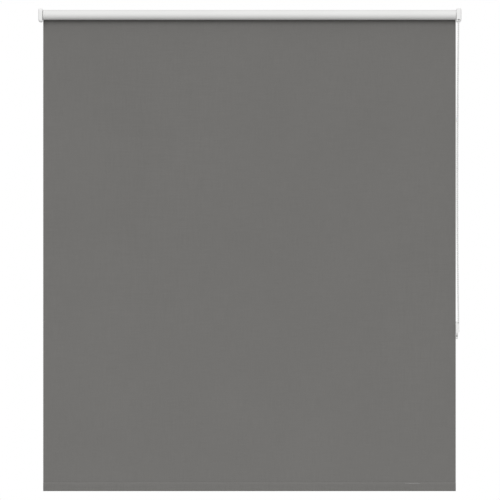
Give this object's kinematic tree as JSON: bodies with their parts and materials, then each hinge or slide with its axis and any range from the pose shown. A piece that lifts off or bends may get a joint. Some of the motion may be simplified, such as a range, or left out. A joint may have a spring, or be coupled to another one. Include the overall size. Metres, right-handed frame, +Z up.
{
  "type": "roller blind",
  "caption": "Chain-operated roller blind: grey cloth on a tube between covered end brackets, with a weighted hem and a bead chain held taut by a wall clip.",
  "frame": {"origin": "centre of the bracket screw holes on the wall plane, level with the roller's axis", "axes": "+Z up, +Y into the wall, +X to the right seen from the room"},
  "size_m": [1.3, 0.048, 1.4834],
  "materials": {
    "cover_plastic": "moulded white plastic with a soft sheen",
    "bracket_steel": "white powder-coated sheet steel",
    "mechanism_plastic": "moulded off-white plastic, fine matt texture",
    "pin_steel": "bright turned steel",
    "spring_steel": "zinc-plated spring steel",
    "tube_aluminium": "mill-finish extruded aluminium",
    "tape": "thin adhesive tape",
    "cloth_white_face": "white light-blocking coating on the cloth's back",
    "cloth_grey_face": "grey plain-weave polyester, matt",
    "bar_steel": "lacquered steel",
    "end_cap_plastic": "grey moulded plastic",
    "chain_plastic": "white moulded beads on a cord",
    "connector_plastic": "milky translucent plastic",
    "clip_plastic": "moulded white plastic with a soft sheen"
  },
  "bodies": {
    "root": {"left_bracket": "bracket_steel", "left_bracket_cover": "cover_plastic", "right_bracket": "bracket_steel", "right_bracket_cover": "cover_plastic", "idle_bush": "mechanism_plastic", "control_post": "mechanism_plastic", "chain_guard": "mechanism_plastic", "retaining_washer": "spring_steel", "retaining_screw": "spring_steel", "bead_chain_hanging": "chain_plastic", "bead_chain_on_wheel": "chain_plastic", "chain_connector": "connector_plastic", "chain_clip_body": "clip_plastic", "chain_clip_peg": "clip_plastic"},
    "roller": {"roller_tube": "tube_aluminium", "fabric_tape": "tape", "fabric_roll": "cloth_white_face", "idle_plug": "mechanism_plastic", "idle_plug_cap": "mechanism_plastic", "idle_spring": "spring_steel", "drive_sleeve": "mechanism_plastic"},
    "pin": {"idle_pin": "pin_steel"},
    "drive_wheel": {"chain_wheel": "mechanism_plastic", "clutch_spring_near": "spring_steel", "clutch_spring_far": "spring_steel"},
    "hem": {"fabric_drop": "cloth_grey_face", "hem_pocket": "cloth_grey_face", "bottom_bar": "bar_steel", "bar_end_cap_left": "end_cap_plastic", "bar_end_cap_right": "end_cap_plastic"}
  },
  "joints": [
    {"name": "roller_turn", "type": "hinge", "parent": "root", "child": "roller", "pos_m": [0, -0.026, 0], "axis": [1, 0, 0], "range_deg": [0, 4500]},
    {"name": "wheel_turn", "type": "hinge", "parent": "root", "child": "drive_wheel", "pos_m": [0, -0.026, 0], "axis": [1, 0, 0], "range_deg": [0, 4500]},
    {"name": "hem_lift", "type": "slide", "parent": "root", "child": "hem", "axis": [0, 0, 1], "range_m": [0, 1.4], "deforming": ["fabric_drop"]},
    {"name": "pin_press", "type": "slide", "parent": "roller", "child": "pin", "axis": [1, 0, 0], "range_m": [0, 0.006], "stiffness_N_per_m": 400, "springref_m": -0.006, "deforming": ["idle_spring"]}
  ],
  "couplings": [
    {"joint": "roller_turn", "follows": "hem_lift", "rad_per_m": 56.1},
    {"joint": "wheel_turn", "follows": "hem_lift", "rad_per_m": 56.1}
  ]
}
